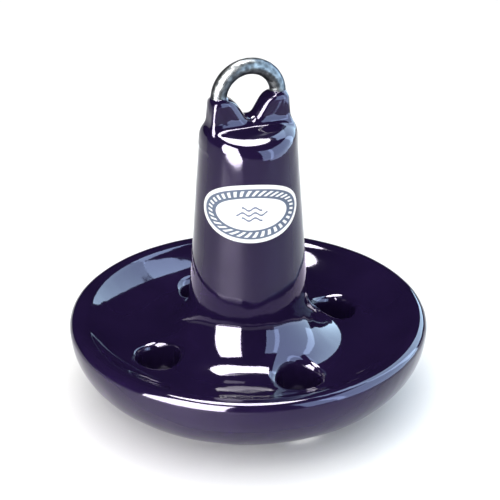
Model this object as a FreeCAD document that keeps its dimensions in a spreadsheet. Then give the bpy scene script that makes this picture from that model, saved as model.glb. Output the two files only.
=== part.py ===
"""Mushroom boat anchor: a grey-iron casting dipped in vinyl, with a cast-in steel eye.

Millimetres. Origin at the centre of the flat foot, on the floor; +Z up the shank;
the eye and the lug that carries it lie in the XZ plane. A label faces mostly -Y.
"""
import FreeCAD, Part

import math
import os

import Sketcher

DIMENSIONS = {
    # bowl
    "outer_radius": "90",        # widest radius of the coated bowl
    "widest_height": "38.2",     # height of that widest circle
    "foot_radius": "36",         # flat that the anchor stands on
    "side_round": "31",          # radius of the bowl's side, seen in section
    "lip_outer_round": "4.2",
    "lip_inner_round": "9",
    "bowl_floor_height": "31",
    "shank_fillet": "24",        # sweep from the bowl floor into the shank
    # drain holes
    "drain_circle_radius": "50.9",
    "drain_bore_radius": "10.5",
    "drain_count": "4",
    "drain_turn": "9",           # degrees from the eye's plane to the first drain
    # shank
    "shank_top_radius": "23.53",
    "shoulder_height": "140",    # where the shank's straight taper ends
    "shank_taper": "4.08",       # degrees, half angle
    "shoulder_round": "10",
    "crown_height": "150.2",     # top of the dome that the ridge is cut from
    "ridge_height": "147.4",     # the ridge runs along X, and falls away towards -Y and +Y
    "ridge_radius": "45",
    "ridge_half_width": "30",    # wider than the shank
    "ridge_edge_round": "6",
    # lug that carries the eye
    "lug_width": "38.4",
    "lug_thickness": "11.6",
    "lug_corner_round": "3.5",
    "lug_root_height": "138",    # buried in the shank
    "lug_tip_height": "160.4",
    "notch_lean": "31",          # degrees from upright, each flank
    "notch_floor_height": "149.4",
    "notch_floor_radius": "3",
    "iron_lug_height": "154.4",  # the iron stops below the coated tips
    # vinyl dip
    "coat": "1.6",
    # eye, bent from round bar
    "bar_diameter": "7.9",
    "eye_bend_radius": "14.95",  # to the bar's centre line
    "eye_centre_height": "160",
    "eye_overwrap": "20",        # degrees that the bend passes the half circle, each side
    "leg_length": "9",
    "toe_bend_radius": "8",      # the ends turn outwards inside the shank
    "toe_turn": "60",
    # label
    "label_length": "44.6",      # straight across, not round the shank
    "label_height": "29.7",
    "label_centre_height": "109.7",
    "label_film": "0.3",
    "label_turn": "-16",         # degrees about the shank from facing -Y
}

SKIN = "0"                       # inset of the coat's outer surface
IRON = "dims.coat"               # inset of the iron beneath the coat
START, END, CENTRE = 1, 2, 3     # Sketcher's names for the points of a line or an arc
Z_AXIS_OF_SKETCH = -2
ORIGIN_POINT = (-1, 1)


def value(alias):
    return float(DIMENSIONS[alias])


def make_sheet(doc):
    sheet = doc.addObject("Spreadsheet::Sheet", "dims")
    for row, (alias, text) in enumerate(DIMENSIONS.items(), start=1):
        sheet.set("A%d" % row, alias)
        sheet.set("B%d" % row, text)
        sheet.setAlias("B%d" % row, alias)
    doc.recompute()
    return sheet


def new_body(doc, name):
    body = doc.addObject("PartDesign::Body", name)
    body.Label = name
    return body


def origin_feature(body, role):
    return next(item for item in body.Origin.OriginFeatures if item.Role == role)


def new_sketch(body, name, plane="XZ_Plane"):
    sketch = body.newObject("Sketcher::SketchObject", name)
    sketch.AttachmentSupport = [(origin_feature(body, plane), "")]
    sketch.MapMode = "FlatFace"
    return sketch


def point(x, y):
    return FreeCAD.Vector(x, y, 0)


def add_line(sketch, start, end):
    return sketch.addGeometry(Part.LineSegment(point(*start), point(*end)), False)


def add_arc(sketch, centre, radius, first_degrees, last_degrees):
    """An arc that runs anticlockwise from its START point to its END point."""
    circle = Part.Circle(point(*centre), FreeCAD.Vector(0, 0, 1), radius)
    arc = Part.ArcOfCircle(circle, math.radians(first_degrees), math.radians(last_degrees))
    return sketch.addGeometry(arc, False)


def relate(sketch, kind, *items):
    return sketch.addConstraint(Sketcher.Constraint(kind, *items))


def bind(sketch, constraint, expression):
    sketch.setExpression("Constraints[%d]" % constraint, expression)


def place(sketch, geometry, vertex, x_expression, y_expression, guess):
    """Fix a point of the sketch from its origin; None leaves that direction free."""
    kinds = ("DistanceX", "DistanceY")
    for kind, expression, number in zip(kinds, (x_expression, y_expression), guess):
        if expression is not None:
            number = relate(sketch, kind, *ORIGIN_POINT, geometry, vertex, number)
            bind(sketch, number, expression)


def radius(sketch, arc, expression, guess):
    bind(sketch, relate(sketch, "Radius", arc, guess), expression)


def bowl_and_shank_section(sketch, inset, inset_mm):
    """Half section of the turned shape, its surface moved inwards by the inset."""
    outer = value("outer_radius") - inset_mm
    widest = value("widest_height")
    foot = value("foot_radius")
    side_round = value("side_round") - inset_mm
    lip_outer = value("lip_outer_round") - inset_mm
    lip_inner = value("lip_inner_round") - inset_mm
    crest = widest + lip_outer
    lip_x = value("outer_radius") - value("lip_outer_round")
    floor = value("bowl_floor_height") - inset_mm
    fillet = value("shank_fillet") + inset_mm
    taper = math.radians(value("shank_taper"))
    top_x = value("shank_top_radius") - inset_mm * math.cos(taper)
    top_z = value("shoulder_height") - inset_mm * math.sin(taper)
    shoulder = value("shoulder_round") - inset_mm
    crown = value("crown_height") - inset_mm

    # the underside: a wide arc that leaves the flat foot and meets the side's arc
    across = outer - side_round - foot
    rise = widest - inset_mm
    under = (across ** 2 + rise ** 2 - side_round ** 2) / (2 * (rise - side_round))
    meet = math.degrees(math.atan2(widest - (inset_mm + under), across))
    base = add_line(sketch, (0, inset_mm), (foot, inset_mm))
    underside = add_arc(sketch, (foot, inset_mm + under), under, -90, meet)
    side = add_arc(sketch, (outer - side_round, widest), side_round, meet, 0)

    # the lip: a tight outer round, then a wider one that falls into the bowl
    lip_out = add_arc(sketch, (lip_x, widest), lip_outer, 0, 90)
    gutter_x = top_x + (top_z - floor - fillet) * math.tan(taper) + fillet / math.cos(taper)
    lip_z = crest - lip_inner
    drop = floor - lip_z
    reach = lip_x - gutter_x
    dish = (reach ** 2 + drop ** 2 - lip_inner ** 2) / (2 * (lip_inner - drop))
    slope = math.degrees(math.atan2(floor + dish - lip_z, -reach))
    lip_in = add_arc(sketch, (lip_x, lip_z), lip_inner, 90, slope)
    bowl = add_arc(sketch, (gutter_x, floor + dish), dish, -90, slope - 180)

    # the sweep up to the shank, the shank's taper, its shoulder and its crown
    taper_degrees = math.degrees(taper)
    sweep = add_arc(sketch, (gutter_x, floor + fillet), fillet, 180 + taper_degrees, 270)
    sweep_end = (gutter_x - fillet * math.cos(taper), floor + fillet - fillet * math.sin(taper))
    shank = add_line(sketch, sweep_end, (top_x, top_z))
    turn_x = top_x - shoulder * math.cos(taper)
    turn_z = top_z - shoulder * math.sin(taper)
    lift = crown - turn_z
    crown_round = (turn_x ** 2 + lift ** 2 - shoulder ** 2) / (2 * (lift - shoulder))
    lean = math.degrees(math.atan2(turn_z - (crown - crown_round), turn_x))
    shoulder_arc = add_arc(sketch, (turn_x, turn_z), shoulder, taper_degrees, lean)
    crown_arc = add_arc(sketch, (0, crown - crown_round), crown_round, lean, 90)
    axis = add_line(sketch, (0, crown), (0, inset_mm))

    relate(sketch, "PointOnObject", base, START, Z_AXIS_OF_SKETCH)
    relate(sketch, "Horizontal", base)
    place(sketch, base, END, "dims.foot_radius", inset, (foot, inset_mm))
    relate(sketch, "Tangent", base, END, underside, START)
    relate(sketch, "Tangent", underside, END, side, START)
    radius(sketch, side, "dims.side_round - " + inset, side_round)
    relate(sketch, "Tangent", side, END, lip_out, START)
    place(sketch, lip_out, START, "dims.outer_radius - " + inset, "dims.widest_height", (outer, widest))
    relate(sketch, "Horizontal", lip_out, CENTRE, lip_out, START)
    radius(sketch, lip_out, "dims.lip_outer_round - " + inset, lip_outer)
    relate(sketch, "Tangent", lip_out, END, lip_in, START)
    relate(sketch, "Vertical", lip_out, CENTRE, lip_out, END)
    radius(sketch, lip_in, "dims.lip_inner_round - " + inset, lip_inner)
    relate(sketch, "Tangent", lip_in, END, bowl, END)
    relate(sketch, "Tangent", bowl, START, sweep, END)
    relate(sketch, "Vertical", sweep, CENTRE, sweep, END)
    place(sketch, sweep, END, None, "dims.bowl_floor_height - " + inset, (gutter_x, floor))
    radius(sketch, sweep, "dims.shank_fillet + " + inset, fillet)
    relate(sketch, "Tangent", sweep, START, shank, START)
    place(sketch, shank, END, "dims.shank_top_radius - %s * cos(dims.shank_taper)" % inset,
          "dims.shoulder_height - %s * sin(dims.shank_taper)" % inset, (top_x, top_z))
    lean_angle = relate(sketch, "Angle", shank, math.radians(90) + taper)
    bind(sketch, lean_angle, "90 + dims.shank_taper")
    relate(sketch, "Tangent", shank, END, shoulder_arc, START)
    radius(sketch, shoulder_arc, "dims.shoulder_round - " + inset, shoulder)
    relate(sketch, "Tangent", shoulder_arc, END, crown_arc, START)
    relate(sketch, "PointOnObject", crown_arc, CENTRE, Z_AXIS_OF_SKETCH)
    relate(sketch, "Coincident", crown_arc, END, axis, START)
    place(sketch, axis, START, None, "dims.crown_height - " + inset, (0, crown))
    relate(sketch, "PointOnObject", axis, START, Z_AXIS_OF_SKETCH)
    relate(sketch, "Coincident", axis, END, base, START)


def turn_bowl_and_shank(body, inset, inset_mm):
    sketch = new_sketch(body, body.Name + "_section")
    bowl_and_shank_section(sketch, inset, inset_mm)
    turned = body.newObject("PartDesign::Revolution", body.Name + "_turned")
    turned.Profile = sketch
    turned.ReferenceAxis = (sketch, ["V_Axis"])
    turned.Angle = 360
    return turned


def cut_ridge(doc, body, inset, inset_mm):
    """Slope the shank's top down to both sides of the lug, and round the edge that this leaves."""
    sketch = new_sketch(body, body.Name + "_ridge_outline", "YZ_Plane")
    ridge = value("ridge_radius") - inset_mm
    half = value("ridge_half_width")
    centre_z = value("ridge_height") - value("ridge_radius")
    end_z = centre_z + math.sqrt(ridge ** 2 - half ** 2)
    top = value("crown_height") + value("ridge_edge_round")
    lean = math.degrees(math.acos(half / ridge))
    arc = add_arc(sketch, (0, centre_z), ridge, lean, 180 - lean)
    left = add_line(sketch, (-half, end_z), (-half, top))
    across = add_line(sketch, (-half, top), (half, top))
    right = add_line(sketch, (half, top), (half, end_z))
    loop = (arc, left, across, right)
    for before, after in zip(loop, loop[1:] + loop[:1]):
        relate(sketch, "Coincident", before, END, after, START)
    relate(sketch, "PointOnObject", arc, CENTRE, Z_AXIS_OF_SKETCH)
    place(sketch, arc, CENTRE, None, "dims.ridge_height - dims.ridge_radius", (0, centre_z))
    radius(sketch, arc, "dims.ridge_radius - " + inset, ridge)
    relate(sketch, "Vertical", left)
    relate(sketch, "Horizontal", across)
    relate(sketch, "Vertical", right)
    top_text = "dims.crown_height + dims.ridge_edge_round"
    place(sketch, left, END, "-dims.ridge_half_width", top_text, (-half, top))
    place(sketch, right, START, "dims.ridge_half_width", None, (half, top))
    pocket = cut_through(doc, body, sketch, "_ridge")
    round_edges(doc, body, pocket, ridge, inset, inset_mm)


def round_edges(doc, body, pocket, ridge, inset, inset_mm):
    """Fillet the edge all round the ridge's curved face."""
    shape = pocket.Shape
    faces = [face for face in shape.Faces
             if isinstance(face.Surface, Part.Cylinder) and abs(face.Surface.Radius - ridge) < 1e-6]
    rim = [edge for face in faces for edge in face.Edges]
    names = ["Edge%d" % number for number, edge in enumerate(shape.Edges, start=1)
             if any(edge.isSame(other) for other in rim)]
    fillet = body.newObject("PartDesign::Fillet", body.Name + "_ridge_round")
    fillet.Base = (pocket, names)
    fillet.Radius = value("ridge_edge_round") - inset_mm
    fillet.setExpression("Radius", "dims.ridge_edge_round - " + inset)
    doc.recompute()


def rounded_rectangle(sketch, width, depth, corner, numbers):
    """Centred on the sketch's origin; the three sizes are expressions, numbers their values."""
    width_mm, depth_mm, corner_mm = numbers
    half_x = width_mm / 2
    half_y = depth_mm / 2
    in_x = half_x - corner_mm
    in_y = half_y - corner_mm
    right = add_line(sketch, (half_x, -in_y), (half_x, in_y))
    top_right = add_arc(sketch, (in_x, in_y), corner_mm, 0, 90)
    back = add_line(sketch, (in_x, half_y), (-in_x, half_y))
    top_left = add_arc(sketch, (-in_x, in_y), corner_mm, 90, 180)
    left = add_line(sketch, (-half_x, in_y), (-half_x, -in_y))
    low_left = add_arc(sketch, (-in_x, -in_y), corner_mm, 180, 270)
    front = add_line(sketch, (-in_x, -half_y), (in_x, -half_y))
    low_right = add_arc(sketch, (in_x, -in_y), corner_mm, 270, 360)
    loop = (right, top_right, back, top_left, left, low_left, front, low_right)
    for before, after in zip(loop, loop[1:] + loop[:1]):
        relate(sketch, "Tangent", before, END, after, START)
    relate(sketch, "Vertical", right)
    relate(sketch, "Horizontal", back)
    for arc in (top_left, low_left, low_right):
        relate(sketch, "Equal", top_right, arc)
    radius(sketch, top_right, corner, corner_mm)
    place(sketch, right, END, "(%s) / 2" % width, "(%s) / 2 - (%s)" % (depth, corner), (half_x, in_y))
    place(sketch, left, END, "-(%s) / 2" % width, "(%s) - (%s) / 2" % (corner, depth), (-half_x, -in_y))


def raise_lug(body, inset, inset_mm, top, top_mm):
    """The flat lug that stands on the crown and holds the eye's legs."""
    outline = new_sketch(body, body.Name + "_lug_plan", "XY_Plane")
    sizes = ("dims.lug_width - 2 * " + inset, "dims.lug_thickness - 2 * " + inset,
             "dims.lug_corner_round - " + inset)
    numbers = (value("lug_width") - 2 * inset_mm, value("lug_thickness") - 2 * inset_mm,
               value("lug_corner_round") - inset_mm)
    rounded_rectangle(outline, *sizes, numbers)
    outline.AttachmentOffset = FreeCAD.Placement(
        FreeCAD.Vector(0, 0, value("lug_root_height")), FreeCAD.Rotation())
    outline.setExpression("AttachmentOffset.Base.z", "dims.lug_root_height")
    lug = body.newObject("PartDesign::Pad", body.Name + "_lug")
    lug.Profile = outline
    lug.Length = top_mm - value("lug_root_height")
    lug.setExpression("Length", "%s - dims.lug_root_height" % top)


def cut_notch(doc, body, inset, inset_mm):
    """The V between the lug's two horns, with a rounded floor."""
    sketch = new_sketch(body, body.Name + "_notch_outline")
    lean_degrees = value("notch_lean")
    lean = math.radians(lean_degrees)
    floor = value("notch_floor_radius") + inset_mm
    centre_z = value("notch_floor_height") + value("notch_floor_radius")
    tip = value("lug_tip_height")
    foot_x = floor * math.cos(lean)
    foot_z = centre_z - floor * math.sin(lean)
    wide = floor / math.cos(lean) + (tip - centre_z) * math.tan(lean)
    left = add_line(sketch, (-wide, tip), (-foot_x, foot_z))
    arc = add_arc(sketch, (0, centre_z), floor, 180 + lean_degrees, 360 - lean_degrees)
    right = add_line(sketch, (foot_x, foot_z), (wide, tip))
    across = add_line(sketch, (wide, tip), (-wide, tip))
    relate(sketch, "Tangent", left, END, arc, START)
    relate(sketch, "Tangent", arc, END, right, START)
    relate(sketch, "Coincident", right, END, across, START)
    relate(sketch, "Coincident", across, END, left, START)
    relate(sketch, "Horizontal", across)
    relate(sketch, "PointOnObject", arc, CENTRE, Z_AXIS_OF_SKETCH)
    centre_text = "(dims.notch_floor_height + dims.notch_floor_radius)"
    floor_text = "(dims.notch_floor_radius + %s)" % inset
    wide_text = "%s / cos(dims.notch_lean) + (dims.lug_tip_height - %s) * tan(dims.notch_lean)" % (
        floor_text, centre_text)
    place(sketch, arc, CENTRE, None, centre_text, (0, centre_z))
    radius(sketch, arc, floor_text, floor)
    place(sketch, right, END, wide_text, "dims.lug_tip_height", (wide, tip))
    place(sketch, left, START, "-(%s)" % wide_text, None, (-wide, tip))
    cut_through(doc, body, sketch, "_notch")


def cut_through(doc, body, sketch, suffix):
    """Pocket right through both ways, and make sure that it removed material."""
    doc.recompute()
    before = body.Shape.Volume
    pocket = body.newObject("PartDesign::Pocket", body.Name + suffix)
    pocket.Profile = sketch
    pocket.Type = "ThroughAll"
    pocket.Midplane = True
    doc.recompute()
    if body.Shape.Volume >= before:
        raise RuntimeError(body.Name + suffix + " cuts nothing")
    return pocket


def drill_drains(doc, body, inset, inset_mm):
    """Drain holes through the bowl, repeated about the shank."""
    sketch = new_sketch(body, body.Name + "_drain_outline", "XY_Plane")
    turn = math.radians(value("drain_turn"))
    circle_mm = value("drain_circle_radius")
    centre = (circle_mm * math.cos(turn), circle_mm * math.sin(turn))
    bore_mm = value("drain_bore_radius") + inset_mm
    drain = sketch.addGeometry(Part.Circle(point(*centre), FreeCAD.Vector(0, 0, 1), bore_mm), False)
    place(sketch, drain, CENTRE, "dims.drain_circle_radius * cos(dims.drain_turn)",
          "dims.drain_circle_radius * sin(dims.drain_turn)", centre)
    radius(sketch, drain, "dims.drain_bore_radius + " + inset, bore_mm)
    pocket = cut_through(doc, body, sketch, "_drain")
    pattern = body.newObject("PartDesign::PolarPattern", body.Name + "_drains")
    pattern.Originals = [pocket]
    pattern.Axis = (origin_feature(body, "Z_Axis"), [""])
    pattern.Angle = 360
    pattern.Occurrences = int(value("drain_count"))
    pattern.setExpression("Occurrences", "dims.drain_count")
    body.Tip = pattern


def anchor_form(doc, name, inset, top):
    """The whole anchor form, its surface moved inwards by the inset expression."""
    inset_mm = 0.0 if inset == SKIN else value("coat")
    body = new_body(doc, name)
    turn_bowl_and_shank(body, inset, inset_mm)
    cut_ridge(doc, body, inset, inset_mm)
    raise_lug(body, inset, inset_mm, "dims." + top, value(top))
    cut_notch(doc, body, inset, inset_mm)
    drill_drains(doc, body, inset, inset_mm)
    doc.recompute()
    return body


def eye_path(sketch):
    """Half of the eye's centre line: bend, leg, and the toe that turns outwards."""
    bend = value("eye_bend_radius")
    height = value("eye_centre_height")
    over = math.radians(value("eye_overwrap"))
    leg = value("leg_length")
    toe = value("toe_bend_radius")
    hip = (bend * math.cos(over), height - bend * math.sin(over))
    ankle = (hip[0] - leg * math.sin(over), hip[1] - leg * math.cos(over))
    toe_centre = (ankle[0] + toe * math.cos(over), ankle[1] - toe * math.sin(over))
    first = 180 - math.degrees(over)
    arc = add_arc(sketch, (0, height), bend, -math.degrees(over), 90)
    straight = add_line(sketch, hip, ankle)
    toe_arc = add_arc(sketch, toe_centre, toe, first, first + value("toe_turn"))
    place(sketch, arc, CENTRE, None, "dims.eye_centre_height", (0, height))
    relate(sketch, "PointOnObject", arc, CENTRE, Z_AXIS_OF_SKETCH)
    relate(sketch, "PointOnObject", arc, END, Z_AXIS_OF_SKETCH)
    radius(sketch, arc, "dims.eye_bend_radius", bend)
    relate(sketch, "Tangent", arc, START, straight, START)
    bind(sketch, relate(sketch, "Distance", straight, leg), "dims.leg_length")
    angle = relate(sketch, "Angle", straight, -math.radians(90) - over)
    bind(sketch, angle, "-90 - dims.eye_overwrap")
    relate(sketch, "Tangent", straight, END, toe_arc, START)
    radius(sketch, toe_arc, "dims.toe_bend_radius", toe)
    toe_angle = relate(sketch, "Angle", toe_arc, math.radians(value("toe_turn")))
    bind(sketch, toe_angle, "dims.toe_turn")


def make_eye(doc):
    body = new_body(doc, "eye_hoop")
    path = new_sketch(body, "eye_centre_line")
    eye_path(path)
    bar = new_sketch(body, "eye_bar_section", "YZ_Plane")
    top = value("eye_centre_height") + value("eye_bend_radius")
    bar_radius = value("bar_diameter") / 2
    ring = bar.addGeometry(Part.Circle(point(0, top), FreeCAD.Vector(0, 0, 1), bar_radius), False)
    relate(bar, "PointOnObject", ring, CENTRE, Z_AXIS_OF_SKETCH)
    place(bar, ring, CENTRE, None, "dims.eye_centre_height + dims.eye_bend_radius", (0, top))
    radius(bar, ring, "dims.bar_diameter / 2", bar_radius)
    doc.recompute()
    half = body.newObject("PartDesign::AdditivePipe", "eye_half")
    half.Profile = bar
    half.Spine = (path, ["Edge1", "Edge2", "Edge3"])
    doc.recompute()
    whole = body.newObject("PartDesign::Mirrored", "eye_whole")
    whole.Originals = [half]
    whole.MirrorPlane = (origin_feature(body, "YZ_Plane"), [""])
    body.Tip = whole
    doc.recompute()
    return body


def label_sleeve(doc):
    """A thin sleeve that fits the shank's taper, all the way round."""
    body = new_body(doc, "label_sleeve")
    sketch = new_sketch(body, "sleeve_section")
    taper = math.radians(value("shank_taper"))
    film = value("label_film")
    middle = value("label_centre_height")
    half = value("label_height") / 2 + film
    low_r, high_r = (value("shank_top_radius") + (value("shoulder_height") - z) * math.tan(taper)
                     for z in (middle - half, middle + half))
    thick = film / math.cos(taper)
    low = middle - half
    high = middle + half
    inner = add_line(sketch, (low_r, low), (high_r, high))
    top = add_line(sketch, (high_r, high), (high_r + thick, high))
    outer = add_line(sketch, (high_r + thick, high), (low_r + thick, low))
    bottom = add_line(sketch, (low_r + thick, low), (low_r, low))
    loop = (inner, top, outer, bottom)
    for before, after in zip(loop, loop[1:] + loop[:1]):
        relate(sketch, "Coincident", before, END, after, START)
    relate(sketch, "Horizontal", top)
    relate(sketch, "Horizontal", bottom)
    relate(sketch, "Parallel", inner, outer)
    shank_text = "dims.shank_top_radius + (dims.shoulder_height - (%s)) * tan(dims.shank_taper)"
    low_text = "dims.label_centre_height - dims.label_height / 2 - dims.label_film"
    high_text = "dims.label_centre_height + dims.label_height / 2 + dims.label_film"
    place(sketch, inner, START, shank_text % low_text, low_text, (low_r, low))
    place(sketch, inner, END, shank_text % high_text, high_text, (high_r, high))
    place(sketch, top, END, "%s + dims.label_film / cos(dims.shank_taper)" % (shank_text % high_text),
          None, (high_r + thick, high))
    sleeve = body.newObject("PartDesign::Revolution", "sleeve_turned")
    sleeve.Profile = sketch
    sleeve.ReferenceAxis = (sketch, ["V_Axis"])
    sleeve.Angle = 360
    doc.recompute()
    return body


def label_outline(doc):
    """An oval prism that reaches from the shank's axis out through its front."""
    body = new_body(doc, "label_outline")
    sketch = new_sketch(body, "label_oval")
    long_mm = value("label_length") / 2
    short_mm = value("label_height") / 2
    middle = value("label_centre_height")
    oval = sketch.addGeometry(Part.Ellipse(point(0, middle), long_mm, short_mm), False)
    sketch.exposeInternalGeometry(oval)
    major = oval + 1
    minor = oval + 2
    relate(sketch, "PointOnObject", oval, CENTRE, Z_AXIS_OF_SKETCH)
    place(sketch, oval, CENTRE, None, "dims.label_centre_height", (0, middle))
    relate(sketch, "Horizontal", major)
    bind(sketch, relate(sketch, "Distance", major, 2 * long_mm), "dims.label_length")
    bind(sketch, relate(sketch, "Distance", minor, 2 * short_mm), "dims.label_height")
    prism = body.newObject("PartDesign::Pad", "label_prism")
    prism.Profile = sketch
    prism.Length = value("outer_radius")
    prism.setExpression("Length", "dims.outer_radius")
    doc.recompute()
    if body.Shape.BoundBox.YMax > short_mm:
        prism.Reversed = True
    body.Placement.Rotation = FreeCAD.Rotation(FreeCAD.Vector(0, 0, 1), value("label_turn"))
    body.setExpression("Placement.Rotation.Angle", "dims.label_turn")
    doc.recompute()
    return body


def cut(doc, name, base, tool):
    result = doc.addObject("Part::Cut", name)
    result.Label = name
    result.Base = base
    result.Tool = tool
    return result


def common(doc, name, base, tool):
    result = doc.addObject("Part::Common", name)
    result.Label = name
    result.Base = base
    result.Tool = tool
    return result


def check(doc, pieces):
    for item in doc.Objects:
        if {"Invalid", "Error"} & set(item.State):
            raise RuntimeError("%s failed: %s" % (item.Name, item.State))
    for piece in pieces:
        if piece.Shape.isNull() or not piece.Shape.isValid() or len(piece.Shape.Solids) != 1:
            raise RuntimeError(piece.Label + " is not one sound solid")


def main():
    doc = FreeCAD.newDocument("mushroom_anchor")
    make_sheet(doc)
    coat_form = anchor_form(doc, "coat_form", SKIN, "lug_tip_height")
    iron_form = anchor_form(doc, "iron_form", IRON, "iron_lug_height")
    eye = make_eye(doc)
    casting = cut(doc, "anchor_casting", iron_form, eye)
    coat_shell = cut(doc, "coat_shell", coat_form, iron_form)
    coating = cut(doc, "vinyl_coating", coat_shell, eye)
    label = common(doc, "label_film", label_sleeve(doc), label_outline(doc))
    doc.recompute()

    pieces = (casting, coating, eye, label)
    check(doc, pieces)
    os.makedirs("parts", exist_ok=True)
    for piece in pieces:
        piece.Shape.exportStep("parts/%s.step" % piece.Label)
        print("%-16s %9.1f mm3  %s" % (piece.Label, piece.Shape.Volume, piece.Shape.BoundBox))


main()
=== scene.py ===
"""The looks of a vinyl-dipped mushroom anchor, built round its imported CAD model.

Lengths in this script are millimetres until a mesh is made, and then metres.
"""
import math

import bmesh
import bpy
import numpy as np
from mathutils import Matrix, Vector
from mathutils.kdtree import KDTree


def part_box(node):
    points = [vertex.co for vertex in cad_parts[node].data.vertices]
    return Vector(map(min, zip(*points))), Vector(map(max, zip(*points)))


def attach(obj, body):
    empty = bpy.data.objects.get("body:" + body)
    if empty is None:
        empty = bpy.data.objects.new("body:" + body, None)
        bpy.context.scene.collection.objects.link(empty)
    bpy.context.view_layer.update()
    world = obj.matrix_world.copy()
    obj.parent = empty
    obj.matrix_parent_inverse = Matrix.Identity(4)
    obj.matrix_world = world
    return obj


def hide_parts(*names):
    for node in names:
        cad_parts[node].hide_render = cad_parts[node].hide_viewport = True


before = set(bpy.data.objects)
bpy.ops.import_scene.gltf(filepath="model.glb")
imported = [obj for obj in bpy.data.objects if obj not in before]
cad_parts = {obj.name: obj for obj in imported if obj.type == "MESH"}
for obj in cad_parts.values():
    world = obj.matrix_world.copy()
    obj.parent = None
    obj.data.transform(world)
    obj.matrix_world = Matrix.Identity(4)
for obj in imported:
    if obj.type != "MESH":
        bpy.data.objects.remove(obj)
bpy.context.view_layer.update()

MM = 0.001


def box_mm(node):
    """A CAD node's lowest and highest corner, in millimetres."""
    low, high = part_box(node)
    return np.array(low) / MM, np.array(high) / MM


COAT_LOW, COAT_HIGH = box_mm("vinyl_coating")
EYE_LOW, EYE_HIGH = box_mm("eye_hoop")
LABEL_LOW, LABEL_HIGH = box_mm("label_film")

# bowl and shank, as the CAD model has them
OUTER_RADIUS = (COAT_HIGH[0] - COAT_LOW[0]) / 2
WIDEST_HEIGHT = 38.2
FOOT_RADIUS = 36.0
SIDE_ROUND = 31.0
LIP_OUTER_ROUND = 4.2
LIP_INNER_ROUND = 9.0
BOWL_FLOOR = 31.0
SHANK_FILLET = 24.0
SHANK_TOP_RADIUS = 23.53
SHOULDER_HEIGHT = 140.0
SHANK_TAPER = math.radians(4.08)
SHOULDER_ROUND = 10.0
CROWN_HEIGHT = 150.2
RIDGE_HEIGHT = 147.4
RIDGE_RADIUS = 45.0
DRAIN_CIRCLE = 50.9
DRAIN_RADIUS = 10.5
DRAIN_TURN = math.radians(9)
DRAIN_COUNT = 4

# lug and eye
LUG_TIP = COAT_HIGH[2]
LUG_WIDTH = 38.4
LUG_THICKNESS = 11.6
LUG_ROOT = 138.0
NOTCH_FLOOR = 149.4
NOTCH_ROUND = 3.0
NOTCH_LEAN = math.radians(31)
BAR_RADIUS = (EYE_HIGH[1] - EYE_LOW[1]) / 2
EYE_BEND = (EYE_HIGH[0] - EYE_LOW[0]) / 2 - BAR_RADIUS
EYE_CENTRE = EYE_HIGH[2] - EYE_BEND - BAR_RADIUS

# label
LABEL_CENTRE = (LABEL_LOW[2] + LABEL_HIGH[2]) / 2
LABEL_HALF_HEIGHT = (LABEL_HIGH[2] - LABEL_LOW[2]) / 2
LABEL_HALF_ARC = 26.6
LABEL_TURN = math.radians(-16)
LABEL_FILM = 0.3


# ---------------------------------------------------------------- section of the turned form

def shank_radius(height):
    return SHANK_TOP_RADIUS + (SHOULDER_HEIGHT - height) * math.tan(SHANK_TAPER)


def section():
    """The half section as arcs and lines, from the foot's centre up to the crown.

    An arc is (centre, radius, first angle, last angle, side); side is 1 where the material is
    inside the circle and -1 where it is outside. A line is (start, end, normal).
    """
    across = OUTER_RADIUS - SIDE_ROUND - FOOT_RADIUS
    under = (across ** 2 + WIDEST_HEIGHT ** 2 - SIDE_ROUND ** 2) / (2 * (WIDEST_HEIGHT - SIDE_ROUND))
    meet = math.atan2(WIDEST_HEIGHT - under, across)
    lip_x = OUTER_RADIUS - LIP_OUTER_ROUND
    lip_z = WIDEST_HEIGHT + LIP_OUTER_ROUND - LIP_INNER_ROUND
    cos_taper, sin_taper, tan_taper = math.cos(SHANK_TAPER), math.sin(SHANK_TAPER), math.tan(SHANK_TAPER)
    gutter_x = SHANK_TOP_RADIUS + (SHOULDER_HEIGHT - BOWL_FLOOR - SHANK_FILLET) * tan_taper
    gutter_x += SHANK_FILLET / cos_taper
    drop = BOWL_FLOOR - lip_z
    reach = lip_x - gutter_x
    dish = (reach ** 2 + drop ** 2 - LIP_INNER_ROUND ** 2) / (2 * (LIP_INNER_ROUND - drop))
    slope = math.atan2(BOWL_FLOOR + dish - lip_z, -reach)
    sweep = (gutter_x, BOWL_FLOOR + SHANK_FILLET)
    sweep_end = (sweep[0] - SHANK_FILLET * cos_taper, sweep[1] - SHANK_FILLET * sin_taper)
    turn = (SHANK_TOP_RADIUS - SHOULDER_ROUND * cos_taper, SHOULDER_HEIGHT - SHOULDER_ROUND * sin_taper)
    lift = CROWN_HEIGHT - turn[1]
    crown = (turn[0] ** 2 + lift ** 2 - SHOULDER_ROUND ** 2) / (2 * (lift - SHOULDER_ROUND))
    lean = math.atan2(turn[1] - (CROWN_HEIGHT - crown), turn[0])
    up = math.pi / 2
    return [
        ((0, 0), (FOOT_RADIUS, 0), (0, -1)),
        ((FOOT_RADIUS, under), under, -up, meet, 1),
        ((OUTER_RADIUS - SIDE_ROUND, WIDEST_HEIGHT), SIDE_ROUND, meet, 0, 1),
        ((lip_x, WIDEST_HEIGHT), LIP_OUTER_ROUND, 0, up, 1),
        ((lip_x, lip_z), LIP_INNER_ROUND, up, slope, 1),
        ((gutter_x, BOWL_FLOOR + dish), dish, slope - math.pi, -up, -1),
        (sweep, SHANK_FILLET, -up, -math.pi + SHANK_TAPER, -1),
        (sweep_end, (SHANK_TOP_RADIUS, SHOULDER_HEIGHT), (cos_taper, sin_taper)),
        (turn, SHOULDER_ROUND, SHANK_TAPER, lean, 1),
        ((0, CROWN_HEIGHT - crown), crown, lean, up, 1),
    ]


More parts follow.
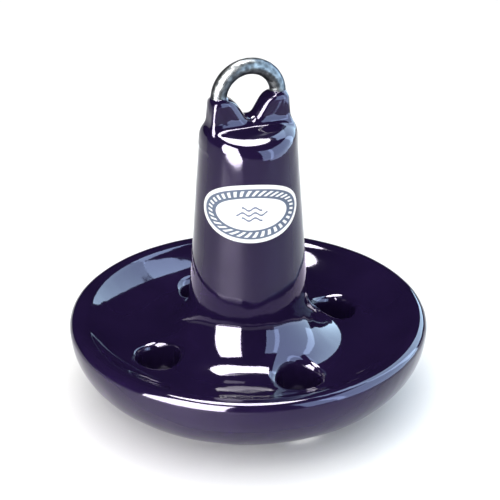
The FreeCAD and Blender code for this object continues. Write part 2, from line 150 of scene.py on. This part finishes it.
def sample_section(pieces, spacing):
    """Points along the section with the number of the piece that each lies on."""
    points, owners = [], []
    for number, piece in enumerate(pieces):
        if len(piece) == 3:
            start, end = np.array(piece[0], float), np.array(piece[1], float)
            steps = max(2, int(np.linalg.norm(end - start) / spacing))
            run = start + np.linspace(0, 1, steps)[:, None] * (end - start)
        else:
            centre, radius, first, last, _ = piece
            steps = max(2, int(abs(last - first) * radius / spacing))
            angles = np.linspace(first, last, steps)
            run = np.array(centre) + radius * np.stack([np.cos(angles), np.sin(angles)], 1)
        points.append(run)
        owners += [number] * steps
    return np.concatenate(points), np.array(owners)


class TurnedForm:
    """Signed distance to the turned form, with its gradient, exact near the surface."""

    def __init__(self):
        self.pieces = section()
        points, self.owners = sample_section(self.pieces, 0.2)
        self.tree = KDTree(len(points))
        for number, (x, z) in enumerate(points):
            self.tree.insert((x, 0, z), number)
        self.tree.balance()

    def __call__(self, p):
        r = np.hypot(p[:, 0], p[:, 1])
        flat = np.stack([r, p[:, 2]], 1)
        nearest = np.array([self.tree.find((x, 0, z))[1] for x, z in flat])
        owner = self.owners[nearest]
        distance = np.zeros(len(p))
        normal = np.zeros((len(p), 2))
        for number, piece in enumerate(self.pieces):
            mine = owner == number
            if len(piece) == 3:
                distance[mine] = (flat[mine] - np.array(piece[0])) @ np.array(piece[2])
                normal[mine] = piece[2]
            else:
                out = flat[mine] - np.array(piece[0])
                length = np.linalg.norm(out, axis=1)
                distance[mine] = piece[4] * (length - piece[1])
                normal[mine] = piece[4] * out / np.maximum(length, 1e-6)[:, None]
        away = np.maximum(r, 1e-6)
        gradient = np.stack([normal[:, 0] * p[:, 0] / away, normal[:, 0] * p[:, 1] / away, normal[:, 1]], 1)
        return distance, gradient


# ---------------------------------------------------------------- fields: (distance, gradient)

def join(a, b, soft):
    """Smooth union of two fields; soft is how wide the fillet between them is."""
    share = np.clip(0.5 + 0.5 * (b[0] - a[0]) / soft, 0, 1)
    distance = b[0] + (a[0] - b[0]) * share - soft * share * (1 - share)
    gradient = b[1] + (a[1] - b[1]) * share[:, None]
    return distance, gradient


def negative(a):
    return -a[0], -a[1]


def trim(a, b, soft):
    """Smooth intersection of two fields; soft is how wide the rounded edge is."""
    return negative(join(negative(a), negative(b), soft))


def plane(p, normal, offset):
    normal = np.array(normal, float)
    return p @ normal - offset, np.tile(normal, (len(p), 1))


def mirrored_plane(p, axis, half, soft=1e-3):
    """Both sides of a slab at once: |coordinate| - half, its crease at the middle rounded."""
    bent = np.sqrt(p[:, axis] ** 2 + soft ** 2)
    gradient = np.zeros_like(p)
    gradient[:, axis] = p[:, axis] / bent
    return bent - half, gradient


def ridge(p):
    """The shank's top slopes down to both sides of the lug."""
    side = np.clip(p[:, 1], -30, 30)
    upward = np.sqrt(RIDGE_RADIUS ** 2 - side ** 2) / RIDGE_RADIUS
    height = RIDGE_HEIGHT - RIDGE_RADIUS * (1 - upward)
    gradient = np.stack([np.zeros(len(p)), side / RIDGE_RADIUS, upward], 1)
    return (p[:, 2] - height) * upward, gradient


def lug(p):
    """The flat lug, its two horns, and the V between them."""
    flare = 0.09                      # the lug's ends lean out towards the crown
    ends = mirrored_plane(p, 0, LUG_WIDTH / 2)
    ends = (ends[0] + flare * (p[:, 2] - LUG_TIP), ends[1] + np.array([0, 0, flare]))
    faces = mirrored_plane(p, 1, LUG_THICKNESS / 2)
    solid = trim(ends, faces, 2.8)
    solid = trim(solid, plane(p, (0, 0, 1), LUG_TIP), 2.5)
    solid = trim(solid, plane(p, (0, 0, -1), -LUG_ROOT), 0.5)
    return trim(solid, notch(p), 4.5)


def notch(p):
    """Depth inside the V between the horns: straight flanks above a rounded floor."""
    side = np.abs(p[:, 0])
    up = p[:, 2] - NOTCH_FLOOR - NOTCH_ROUND
    sine, cosine = math.sin(NOTCH_LEAN), math.cos(NOTCH_LEAN)
    reach = np.hypot(side, up)
    beside = side * sine + up * cosine > 0
    outward = np.zeros_like(p)
    outward[:, 0] = np.where(beside, cosine, side / np.maximum(reach, 1e-6)) * np.sign(p[:, 0])
    outward[:, 2] = np.where(beside, -sine, up / np.maximum(reach, 1e-6))
    distance = np.where(beside, side * cosine - up * sine, reach) - NOTCH_ROUND
    return -distance, -outward


def collar(p):
    """The coat that climbs the bar and thins out at the dip line."""
    wander = 0.45 * np.sin(p[:, 1] * 0.9 + p[:, 0] * 0.35)
    dip_line = LUG_TIP + 0.6 + wander
    across = np.hypot(p[:, 0], p[:, 2] - EYE_CENTRE)
    out = across - EYE_BEND
    reach = np.hypot(out, p[:, 1])
    thin = np.clip((dip_line - p[:, 2]) / 3.2, -0.2, 1.0)
    skin = 1.25 * thin
    safe = np.maximum(across, 1e-6)
    gradient = np.stack([
        out / np.maximum(reach, 1e-6) * p[:, 0] / safe,
        p[:, 1] / np.maximum(reach, 1e-6),
        out / np.maximum(reach, 1e-6) * (p[:, 2] - EYE_CENTRE) / safe + 0.35,
    ], 1)
    tube = (reach - BAR_RADIUS - skin, gradient)
    return trim(tube, plane(p, (0, 0, 1), LUG_TIP + 1.4), 0.4)


def drain_centres():
    turns = [DRAIN_TURN + 2 * math.pi * k / DRAIN_COUNT for k in range(DRAIN_COUNT)]
    return [(DRAIN_CIRCLE * math.cos(a), DRAIN_CIRCLE * math.sin(a)) for a in turns]


def bore(p, centre):
    """Positive inside the hole: what is left of the solid is outside the bore."""
    offset = p[:, :2] - np.array(centre)
    reach = np.maximum(np.linalg.norm(offset, axis=1), 1e-6)
    gradient = np.zeros_like(p)
    gradient[:, :2] = -offset / reach[:, None]
    return DRAIN_RADIUS - reach, gradient


def uneven(p):
    """The slow waviness of a dipped skin that has run and set."""
    waves = (((0.031, 0.022, 0.009), 0.6, 0.05), ((-0.047, 0.038, 0.028), 2.1, 0.035),
             ((0.071, -0.083, 0.041), 4.0, 0.024), ((-0.12, -0.09, 0.13), 1.3, 0.013),
             ((0.19, 0.16, -0.11), 5.2, 0.007))
    height = np.zeros(len(p))
    gradient = np.zeros_like(p)
    for direction, phase, size in waves:
        wave = np.array(direction) * 2 * math.pi / 2
        angle = p @ wave + phase
        height += size * np.sin(angle)
        gradient += size * np.cos(angle)[:, None] * wave
    return height, gradient


def coat_field(p, turned):
    field = trim(turned(p), ridge(p), 4.5)
    field = join(field, lug(p), 4.0)
    field = join(field, collar(p), 1.5)
    for centre in drain_centres():
        field = trim(field, bore(p, centre), 4.5)
    height, slope = uneven(p)
    return field[0] + height, field[1] + slope


# ---------------------------------------------------------------- coat

def new_object(name, mesh):
    made = bpy.data.objects.new(name, mesh)
    bpy.context.collection.objects.link(made)
    return made


def rough_turned(bm):
    """A coarse turned solid, to be remeshed and then drawn onto the exact surface."""
    outline, _ = sample_section(section(), 2.0)
    segments = 120
    rings = []
    for x, z in outline:
        if x < 0.5:
            rings.append([bm.verts.new((0, 0, z))])
            continue
        turns = (2 * math.pi * k / segments for k in range(segments))
        rings.append([bm.verts.new((x * math.cos(a), x * math.sin(a), z)) for a in turns])
    for low, high in zip(rings, rings[1:]):
        for k in range(segments):
            n = (k + 1) % segments
            if len(low) == 1:
                bm.faces.new((low[0], high[n], high[k]))
            elif len(high) == 1:
                bm.faces.new((low[k], low[n], high[0]))
            else:
                bm.faces.new((low[k], low[n], high[n], high[k]))


def rough_prism(bm, outline, half_depth):
    """A closed prism across Y from an outline in X and Z."""
    back = [bm.verts.new((x, half_depth, z)) for x, z in outline]
    front = [bm.verts.new((x, -half_depth, z)) for x, z in outline]
    bm.faces.new(back)
    bm.faces.new(list(reversed(front)))
    for k in range(len(outline)):
        n = (k + 1) % len(outline)
        bm.faces.new((back[n], back[k], front[k], front[n]))


def rough_lug(bm):
    half = LUG_WIDTH / 2 + 1
    top = LUG_TIP + 0.8
    centre = NOTCH_FLOOR + NOTCH_ROUND
    notch_half = NOTCH_ROUND / math.cos(NOTCH_LEAN) + (LUG_TIP - centre) * math.tan(NOTCH_LEAN)
    outline = [(-half, LUG_ROOT), (half, LUG_ROOT), (half, top), (notch_half, top),
               (NOTCH_ROUND, centre), (0, NOTCH_FLOOR), (-NOTCH_ROUND, centre),
               (-notch_half, top), (-half, top)]
    rough_prism(bm, outline, LUG_THICKNESS / 2)


def apply_modifiers(piece):
    depsgraph = bpy.context.evaluated_depsgraph_get()
    mesh = bpy.data.meshes.new_from_object(piece.evaluated_get(depsgraph))
    piece.modifiers.clear()
    old = piece.data
    piece.data = mesh
    bpy.data.meshes.remove(old)


def drain_cutter():
    bm = bmesh.new()
    for x, y in drain_centres():
        made = bmesh.ops.create_cone(bm, cap_ends=True, segments=48, radius1=DRAIN_RADIUS,
                                     radius2=DRAIN_RADIUS, depth=2 * OUTER_RADIUS)
        bmesh.ops.translate(bm, verts=made["verts"], vec=(x, y, 0))
    mesh = bpy.data.meshes.new("drain_cutter")
    bm.to_mesh(mesh)
    bm.free()
    return new_object("drain_cutter", mesh)


def rough_coat(voxel):
    bm = bmesh.new()
    rough_turned(bm)
    rough_lug(bm)
    bmesh.ops.recalc_face_normals(bm, faces=bm.faces)
    mesh = bpy.data.meshes.new("dipped_coat")
    bm.to_mesh(mesh)
    bm.free()
    piece = new_object("dipped_coat", mesh)
    remesh = piece.modifiers.new("skin", "REMESH")
    remesh.mode = "VOXEL"
    remesh.voxel_size = voxel
    apply_modifiers(piece)
    cutter = drain_cutter()
    drains = piece.modifiers.new("drains", "BOOLEAN")
    drains.operation = "DIFFERENCE"
    drains.object = cutter
    again = piece.modifiers.new("skin", "REMESH")
    again.mode = "VOXEL"
    again.voxel_size = voxel
    apply_modifiers(piece)
    bpy.data.objects.remove(cutter)
    return piece


def neighbour_mean(points, edges):
    total = np.zeros_like(points)
    count = np.zeros(len(points))
    for a, b in ((0, 1), (1, 0)):
        np.add.at(total, edges[:, a], points[edges[:, b]])
        np.add.at(count, edges[:, a], 1)
    return total / count[:, None]


def draw_onto_surface(piece, turned, rounds):
    """Slide the mesh onto the exact surface, evening out its faces as it goes."""
    mesh = piece.data
    points = np.empty(len(mesh.vertices) * 3)
    mesh.vertices.foreach_get("co", points)
    points = points.reshape(-1, 3)
    edges = np.empty(len(mesh.edges) * 2, int)
    mesh.edges.foreach_get("vertices", edges)
    edges = edges.reshape(-1, 2)
    for number in range(rounds):
        distance, gradient = coat_field(points, turned)
        steep = np.maximum((gradient ** 2).sum(1), 0.25)
        step = (distance / steep)[:, None] * gradient
        points -= np.clip(step, -1.5, 1.5)
        if number < rounds - 2:
            normal = gradient / np.sqrt(steep)[:, None]
            slide = neighbour_mean(points, edges) - points
            slide -= (slide * normal).sum(1)[:, None] * normal
            points += 0.6 * slide
    _, gradient = coat_field(points, turned)
    mesh.vertices.foreach_set("co", (points * MM).ravel())
    mesh.update()
    length = np.maximum(np.linalg.norm(gradient, axis=1), 1e-6)
    return gradient / length[:, None]


def make_coat(material):
    piece = rough_coat(1.25)
    turned = TurnedForm()
    normals = draw_onto_surface(piece, turned, 9)
    mesh = piece.data
    mesh.shade_smooth()
    mesh.normals_split_custom_set_from_vertices(normals.tolist())
    mesh.materials.append(material)
    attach(piece, "root")
    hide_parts("vinyl_coating")
    return piece


# ---------------------------------------------------------------- eye

def eye_route(step):
    """Centre line of the eye: one leg, the bend, the other leg."""
    over = math.radians(20)
    angles = np.linspace(-over, math.pi + over, int((math.pi + 2 * over) * EYE_BEND / step))
    bend = np.stack([EYE_BEND * np.cos(angles), np.zeros(len(angles)),
                     EYE_CENTRE + EYE_BEND * np.sin(angles)], 1)
    leg = np.linspace(8, step, int(8 / step))[:, None]
    down = np.array([-math.sin(over), 0, -math.cos(over)])
    right_leg = bend[0] + leg * down
    left_leg = bend[-1] + leg[::-1] * down * np.array([-1, 1, 1])
    return np.concatenate([right_leg, bend, left_leg])


def make_eye(material):
    route = eye_route(0.35)
    tangent = np.gradient(route, axis=0)
    tangent /= np.linalg.norm(tangent, axis=1)[:, None]
    across = np.array([0.0, 1.0, 0.0])
    inward = np.cross(tangent, across)
    sides = 64
    turns = np.linspace(0, 2 * math.pi, sides, endpoint=False)
    rng = np.random.default_rng(7)
    lumps = rng.normal(0, 1, (len(route) // 4 + 2, 8))
    along = np.linspace(0, lumps.shape[0] - 1.001, len(route))
    points = []
    for k, place in enumerate(route):
        low = int(along[k])
        row = lumps[low] + (lumps[low + 1] - lumps[low]) * (along[k] - low)
        wave = np.interp(turns, np.linspace(0, 2 * math.pi, 9), np.append(row, row[0]))
        radius = BAR_RADIUS - 0.05 + 0.035 * wave
        out = np.cos(turns)[:, None] * across + np.sin(turns)[:, None] * inward[k]
        ring = place + radius[:, None] * out
        points.append(ring)
    points = np.concatenate(points) * MM
    faces = []
    for k in range(len(route) - 1):
        for s in range(sides):
            n = (s + 1) % sides
            faces.append((k * sides + s, (k + 1) * sides + s, (k + 1) * sides + n, k * sides + n))
    faces.append(tuple(range(sides)))
    last = (len(route) - 1) * sides
    faces.append(tuple(last + s for s in reversed(range(sides))))
    mesh = bpy.data.meshes.new("galvanised_eye")
    mesh.from_pydata(points.tolist(), [], faces)
    bm = bmesh.new()
    bm.from_mesh(mesh)
    bmesh.ops.recalc_face_normals(bm, faces=bm.faces)
    bm.to_mesh(mesh)
    bm.free()
    mesh.shade_smooth()
    mesh.materials.append(material)
    piece = new_object("galvanised_eye", mesh)
    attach(piece, "root")
    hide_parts("eye_hoop")
    return piece


# ---------------------------------------------------------------- label

def make_label(material):
    """An oval film wrapped on the shank, thick enough to catch the light at its edge."""
    around = 192
    profile = [(s, LABEL_FILM) for s in np.linspace(0, 1, 40)[1:] * 0.985]
    profile += [(0.993, LABEL_FILM * 0.93), (0.998, LABEL_FILM * 0.7)]
    profile += [(1.0, LABEL_FILM * 0.35), (1.0, -0.25)]
    facing = -math.pi / 2 + LABEL_TURN
    middle = shank_radius(LABEL_CENTRE)
    flat, lifts = [(0.0, 0.0)], [LABEL_FILM]
    for share, lift in profile:
        for k in range(around):
            a = 2 * math.pi * k / around
            flat.append((LABEL_HALF_ARC * share * math.cos(a), LABEL_HALF_HEIGHT * share * math.sin(a)))
            lifts.append(lift)
    points = []
    for (u, v), lift in zip(flat, lifts):
        height = LABEL_CENTRE + v
        angle = facing + u / middle
        radius = shank_radius(height) + lift + 0.04
        points.append((radius * math.cos(angle) * MM, radius * math.sin(angle) * MM, height * MM))
    faces = [(0, 1 + k, 1 + (k + 1) % around) for k in range(around)]
    for ring in range(len(profile) - 1):
        start = 1 + ring * around
        for k in range(around):
            n = (k + 1) % around
            faces.append((start + k, start + around + k, start + around + n, start + n))
    last = 1 + (len(profile) - 1) * around
    faces.append(tuple(last + k for k in reversed(range(around))))
    mesh = bpy.data.meshes.new("oval_label")
    mesh.from_pydata(points, [], faces)
    layer = mesh.uv_layers.new(name="print")
    for loop in mesh.loops:
        u, v = flat[loop.vertex_index]
        layer.data[loop.index].uv = (0.5 + u / 100, 0.5 + v / 100)
    mesh.shade_smooth()
    mesh.materials.append(material)
    piece = new_object("oval_label", mesh)
    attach(piece, "root")
    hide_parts("label_film")
    return piece


# ---------------------------------------------------------------- materials

class Nodes:
    """Short calls for building one material's node tree."""

    def __init__(self, name):
        self.material = bpy.data.materials.new(name)
        self.material.use_nodes = True
        self.tree = self.material.node_tree
        self.shader = self.tree.nodes["Principled BSDF"]

    def add(self, kind, **settings):
        node = self.tree.nodes.new(kind)
        for name, value in settings.items():
            setattr(node, name, value)
        return node

    def link(self, source, target):
        self.tree.links.new(source, target)

    def feed(self, socket, value):
        if hasattr(value, "links"):
            self.link(value, socket)
        else:
            socket.default_value = value

    def math(self, operation, *values):
        node = self.add("ShaderNodeMath", operation=operation)
        for socket, value in zip(node.inputs, values):
            self.feed(socket, value)
        return node.outputs[0]

    def ramp(self, value, *stops):
        node = self.add("ShaderNodeValToRGB")
        while len(node.color_ramp.elements) < len(stops):
            node.color_ramp.elements.new(0.5)
        for element, (place, colour) in zip(node.color_ramp.elements, stops):
            element.position = place
            element.color = (*colour, 1)
        self.link(value, node.inputs[0])
        return node.outputs[0]

    def mix(self, share, first, second):
        node = self.add("ShaderNodeMix", data_type="RGBA")
        self.feed(node.inputs[0], share)
        self.feed(node.inputs[6], first if hasattr(first, "links") else (*first, 1))
        self.feed(node.inputs[7], second if hasattr(second, "links") else (*second, 1))
        return node.outputs[2]

    def noise(self, scale, detail=3.0, roughness=0.5, place=None):
        node = self.add("ShaderNodeTexNoise")
        node.inputs["Scale"].default_value = scale
        node.inputs["Detail"].default_value = detail
        node.inputs["Roughness"].default_value = roughness
        self.link(place or self.place(), node.inputs["Vector"])
        return node.outputs["Fac"]

    def place(self):
        return self.add("ShaderNodeTexCoord").outputs["Object"]

    def bump(self, height, strength, distance, under=None):
        node = self.add("ShaderNodeBump")
        node.inputs["Strength"].default_value = strength
        node.inputs["Distance"].default_value = distance
        self.link(height, node.inputs["Height"])
        if under is not None:
            self.link(under, node.inputs["Normal"])
        return node.outputs["Normal"]

    def set(self, **values):
        for name, value in values.items():
            self.feed(self.shader.inputs[name.replace("_", " ")], value)


def span(nodes, value, low, high):
    """Map 0..1 to low..high."""
    return nodes.math("ADD", nodes.math("MULTIPLY", value, high - low), low)


def vinyl():
    n = Nodes("dipped_vinyl")
    cloud = n.noise(28, 4)
    colour = n.ramp(cloud, (0.3, (0.0095, 0.0052, 0.026)), (0.7, (0.0145, 0.0075, 0.037)))
    fine = n.noise(900, 2)
    ripple = n.noise(120, 2)
    normal = n.bump(ripple, 0.05, 0.0006)
    normal = n.bump(fine, 0.05, 0.0001, normal)
    n.set(Base_Color=colour, Roughness=span(n, n.noise(60, 5, 0.6), 0.03, 0.08), Normal=normal)
    n.set(IOR=1.35, Specular_Tint=(0.80, 0.72, 1.0, 1))
    return n.material


def galvanised():
    n = Nodes("galvanised_steel")
    cloud = n.noise(260, 6, 0.65)
    grain = n.noise(1100, 4, 0.7)
    spangle = n.add("ShaderNodeTexVoronoi")
    spangle.inputs["Scale"].default_value = 420
    n.link(n.place(), spangle.inputs["Vector"])
    spangled = n.math("MULTIPLY", spangle.outputs["Distance"], 0.3)
    mottled = n.math("ADD", n.math("MULTIPLY", cloud, 0.7), spangled)
    dull, middle, bright = (0.017, 0.018, 0.021), (0.042, 0.044, 0.049), (0.080, 0.083, 0.090)
    colour = n.ramp(mottled, (0.30, dull), (0.48, middle), (0.64, bright))
    normal = n.bump(cloud, 0.25, 0.0006)
    normal = n.bump(grain, 0.2, 0.00015, normal)
    n.set(Base_Color=colour, Metallic=1.0, Roughness=span(n, cloud, 0.26, 0.42), Normal=normal)
    n.set(Specular_Tint=(0.30, 0.31, 0.34, 1))      # the bar darkens towards its outline
    return n.material


def label_film():
    n = Nodes("printed_film")
    uv = n.add("ShaderNodeUVMap", uv_map="print").outputs[0]
    axes = n.add("ShaderNodeSeparateXYZ")
    n.link(uv, axes.inputs[0])
    u = n.math("MULTIPLY", n.math("SUBTRACT", axes.outputs[0], 0.5), 100.0)
    v = n.math("MULTIPLY", n.math("SUBTRACT", axes.outputs[1], 0.5), 100.0)

    def oval(half_u, half_v):
        """Less than 1 inside the oval."""
        across = n.math("POWER", n.math("DIVIDE", u, half_u), 2.0)
        up = n.math("POWER", n.math("DIVIDE", v, half_v), 2.0)
        return n.math("SQRT", n.math("ADD", across, up))

    def inside(value, limit, soft=0.012):
        """1 below the limit and 0 above it, with a soft printed edge."""
        node = n.add("ShaderNodeMapRange", interpolation_type="SMOOTHSTEP")
        node.inputs["From Min"].default_value = limit - soft
        node.inputs["From Max"].default_value = limit + soft
        node.inputs["To Min"].default_value = 1
        node.inputs["To Max"].default_value = 0
        n.link(value, node.inputs["Value"])
        return node.outputs[0]

    def both(a, b):
        return n.math("MULTIPLY", a, b)

    def outside(value, limit, soft=0.012):
        return n.math("SUBTRACT", 1.0, inside(value, limit, soft))

    outer = oval(LABEL_HALF_ARC - 2.0, LABEL_HALF_HEIGHT - 2.0)
    inner = oval(LABEL_HALF_ARC - 8.4, LABEL_HALF_HEIGHT - 6.6)
    band = both(inside(outer, 1.0), outside(inner, 1.0))
    turn = n.math("ARCTAN2", n.math("DIVIDE", v, LABEL_HALF_HEIGHT), n.math("DIVIDE", u, LABEL_HALF_ARC))
    twist = n.math("ADD", n.math("MULTIPLY", turn, 36 / (2 * math.pi)), n.math("MULTIPLY", outer, 3.0))
    strand = inside(n.math("PINGPONG", twist, 0.5), 0.24, 0.05)
    rope = both(both(inside(outer, 0.93), outside(inner, 1.12)), strand)
    waves = None
    for level in (-2.6, 0.0, 2.6):
        swell = n.math("MULTIPLY", n.math("SINE", n.math("MULTIPLY", u, 2 * math.pi / 6.0)), 0.75)
        off = n.math("ABSOLUTE", n.math("SUBTRACT", n.math("SUBTRACT", v, level), swell))
        line = both(inside(off, 0.42, 0.12), inside(n.math("ABSOLUTE", u), 7.5 - abs(level), 0.2))
        waves = line if waves is None else n.math("MAXIMUM", waves, line)
    white = (0.93, 0.935, 0.94)
    blue = (0.13, 0.16, 0.23)
    colour = n.mix(band, white, blue)
    colour = n.mix(rope, colour, white)
    colour = n.mix(waves, colour, (0.12, 0.15, 0.25))
    scuff = n.noise(300, 5, 0.7)
    colour = n.mix(n.ramp(scuff, (0.62, (0, 0, 0)), (0.75, (0.25, 0.25, 0.25))), colour, (0.6, 0.61, 0.65))
    rough = span(n, n.noise(150), 0.45, 0.60)
    n.set(Base_Color=colour, Roughness=rough, Normal=n.bump(scuff, 0.04, 0.0002))
    n.set(IOR=1.05)
    return n.material


def iron():
    n = Nodes("grey_iron")
    grain = n.noise(400, 6, 0.7)
    colour = n.ramp(grain, (0.3, (0.10, 0.095, 0.09)), (0.7, (0.19, 0.185, 0.18)))
    n.set(Base_Color=colour, Metallic=0.8, Roughness=0.62, Normal=n.bump(grain, 0.4, 0.0004))
    return n.material


def floor_material():
    n = Nodes("pale_floor")
    pale = n.ramp(n.noise(3, 2), (0.3, (0.86, 0.86, 0.87)), (0.7, (0.89, 0.89, 0.90)))
    n.set(Base_Color=pale, Roughness=0.7)
    return n.material


# ---------------------------------------------------------------- studio

def make_floor():
    mesh = bpy.data.meshes.new("studio_floor")
    half = 6.0
    corners = [(-half, -half, 0), (half, -half, 0), (half, half, 0), (-half, half, 0)]
    mesh.from_pydata(corners, [], [(0, 1, 2, 3)])
    mesh.materials.append(floor_material())
    new_object("studio_floor", mesh)


VIEW_TURN = math.radians(-20)
VIEW_TILT = math.radians(27.45)
VIEW_DISTANCE = 10 * OUTER_RADIUS
LENS_MM = 130.6
SENSOR_MM = 36
SIDE_SHIFT = 0.0035             # of the sensor
WHITE_CARD = 64                 # radiance of the two white reflection cards
AIM_HEIGHT = 0.858 * OUTER_RADIUS


def view_axes():
    """The camera's right and its level forward, in the model's frame."""
    right = Vector((math.cos(VIEW_TURN), math.sin(VIEW_TURN), 0))
    forward = Vector((-math.sin(VIEW_TURN), math.cos(VIEW_TURN), 0))
    return right, forward


def make_camera():
    _, forward = view_axes()
    away = -forward * math.cos(VIEW_TILT) + Vector((0, 0, math.sin(VIEW_TILT)))
    data = bpy.data.cameras.new("camera")
    data.lens = LENS_MM
    data.sensor_width = SENSOR_MM
    data.clip_start = 0.01
    data.shift_x = SIDE_SHIFT
    camera = bpy.data.objects.new("camera", data)
    bpy.context.collection.objects.link(camera)
    target = Vector((0, 0, AIM_HEIGHT * MM))
    camera.location = target + away * VIEW_DISTANCE * MM
    camera.rotation_euler = (target - camera.location).to_track_quat("-Z", "Y").to_euler()
    bpy.context.scene.camera = camera


def lamp(name, centre, facing, width, height, radiance, colour, shape="RECTANGLE"):
    """A flat lamp of even radiance; centre and facing are metres in the model's frame."""
    data = bpy.data.lights.new(name, "AREA")
    data.shape = shape
    data.size = width
    data.size_y = height
    filled = 1.0 if shape == "RECTANGLE" else math.pi / 4
    data.energy = radiance * math.pi * width * height * filled
    data.color = colour
    made = bpy.data.objects.new(name, data)
    bpy.context.collection.objects.link(made)
    made.location = centre
    made.rotation_euler = (Vector(facing) - Vector(centre)).to_track_quat("-Z", "Y").to_euler()
    made.visible_camera = False
    return made


def card(name, turn, reach, low, high, width, radiance, colour):
    """An upright reflection card that stands round the part; turn is from the camera's side."""
    right, forward = view_axes()
    level = right * math.sin(turn) - forward * math.cos(turn)
    middle = (low + high) / 2
    centre = level * reach + Vector((0, 0, middle))
    made = lamp(name, centre, (0, 0, middle), width, high - low, radiance, colour)
    made.visible_diffuse = False
    return made


def make_studio():
    make_floor()
    make_camera()
    right, forward = view_axes()
    cool = (0.58, 0.82, 1.0)
    warm = (1, 1, 0.92)
    card("left_card", math.radians(-35), 0.42, 0.01, 0.76, 0.35, WHITE_CARD, warm)
    card("right_card", math.radians(82), 0.42, 0.01, 0.60, 0.58, 10.0, cool)
    card("right_wing", math.radians(43), 0.50, 0.06, 0.66, 0.20, 10.0, cool)
    card("back_card", math.radians(129), 0.46, 0.12, 0.66, 0.42, 9.5, cool)
    card("back_wing", math.radians(133), 0.46, 0.66, 1.10, 0.353, 14.0, cool)
    above = forward * 0.12 - right * 0.04 + Vector((0, 0, 0.85))
    over = lamp("over_card", above, (0, 0, 0), 0.52, 0.52, WHITE_CARD, warm, "ELLIPSE")
    over.visible_diffuse = False
    fill = lamp("soft_fill", (0, 0, 2.4), (0, 0, 0), 3.0, 3.0, 1.1, (1, 1, 1))
    fill.visible_glossy = False
    ahead = right * -0.3 - forward * 1.5 + Vector((0, 0, 0.55))
    front = lamp("front_fill", ahead, (0, 0, 0.08), 1.6, 0.9, 2.0, (1, 1, 1))
    front.visible_glossy = False
    world = bpy.data.worlds.new("studio")
    bpy.context.scene.world = world
    world.use_nodes = True
    world.node_tree.nodes["Background"].inputs["Color"].default_value = (1, 1, 1, 1)
    world.node_tree.nodes["Background"].inputs["Strength"].default_value = 0.8
    world.cycles_visibility.glossy = False
    bpy.context.scene.view_settings.view_transform = "Standard"


def main():
    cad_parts["anchor_casting"].data.materials.clear()
    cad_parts["anchor_casting"].data.materials.append(iron())
    make_coat(vinyl())
    make_eye(galvanised())
    make_label(label_film())
    make_studio()


main()
